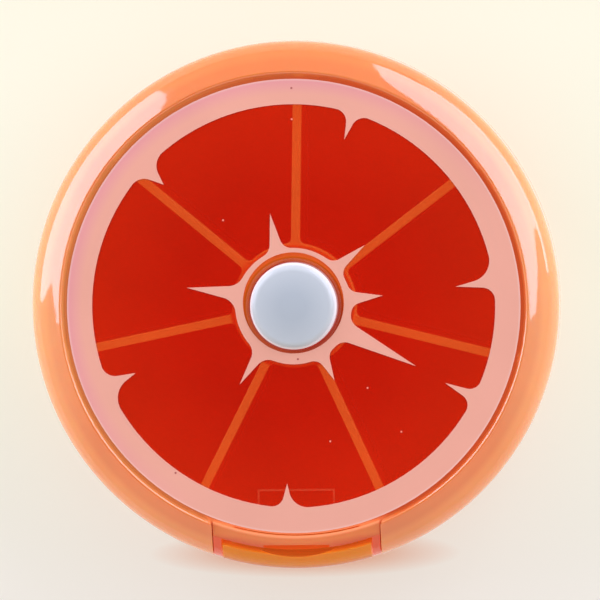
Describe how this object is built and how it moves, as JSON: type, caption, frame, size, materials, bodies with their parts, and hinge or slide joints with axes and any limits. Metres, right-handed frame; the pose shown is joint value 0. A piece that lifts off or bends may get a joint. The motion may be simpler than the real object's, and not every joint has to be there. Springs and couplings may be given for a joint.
{
  "type": "pill organizer",
  "caption": "Round pocket pill organizer whose pill wheel steps round under a citrus-slice face when the domed button in the middle is pressed; a hinged rim door lets the pills out.",
  "frame": {"origin": "centre of the flat back of the case, on the surface it lies on", "axes": "+Z out of the printed face, -Y towards the dispensing door, +X to the right as the face is looked at with the door at the bottom"},
  "size_m": [0.09, 0.09, 0.0232],
  "materials": {
    "case_orange": "polished translucent orange",
    "door_amber": "polished translucent amber",
    "clear_disc": "polished clear",
    "collar_red": "polished orange red",
    "pulp_ink": "translucent red ink",
    "rind_ink": "satin pink ink",
    "wheel_orange": "moulded orange",
    "acetal_white": "moulded white",
    "button_white": "polished white",
    "spring_steel": "drawn wire",
    "pin_steel": "ground"
  },
  "bodies": {
    "case": {"back_shell": "case_orange", "front_bezel": "case_orange", "face_disc": "clear_disc", "guide_collar": "collar_red", "pulp_print": "pulp_ink", "rind_print": "rind_ink", "pith_print": "rind_ink", "door_hinge_pin": "pin_steel"},
    "wheel": {"pill_wheel": "wheel_orange", "return_spring": "spring_steel"},
    "rotor": {"index_rotor": "acetal_white"},
    "button": {"push_button": "button_white", "button_plunger": "acetal_white"},
    "door": {"dispensing_door": "door_amber"}
  },
  "joints": [
    {"name": "button_press", "type": "slide", "parent": "case", "child": "button", "axis": [0, 0, -1], "range_m": [0, 0.003], "stiffness_N_per_m": 350, "springref_m": -0.004},
    {"name": "wheel_turn", "type": "hinge", "parent": "case", "child": "wheel", "pos_m": [0, 0, 0.01], "axis": [0, 0, 1], "continuous": true},
    {"name": "rotor_slide", "type": "slide", "parent": "wheel", "child": "rotor", "axis": [0, 0, -1], "range_m": [0, 0.003], "deforming": ["return_spring"]},
    {"name": "door_flip", "type": "hinge", "parent": "case", "child": "door", "pos_m": [0, -0.041, 0.0056], "axis": [1, 0, 0], "range_deg": [0, 90]}
  ],
  "couplings": [
    {"joint": "rotor_slide", "follows": "button_press", "ratio": 1}
  ]
}
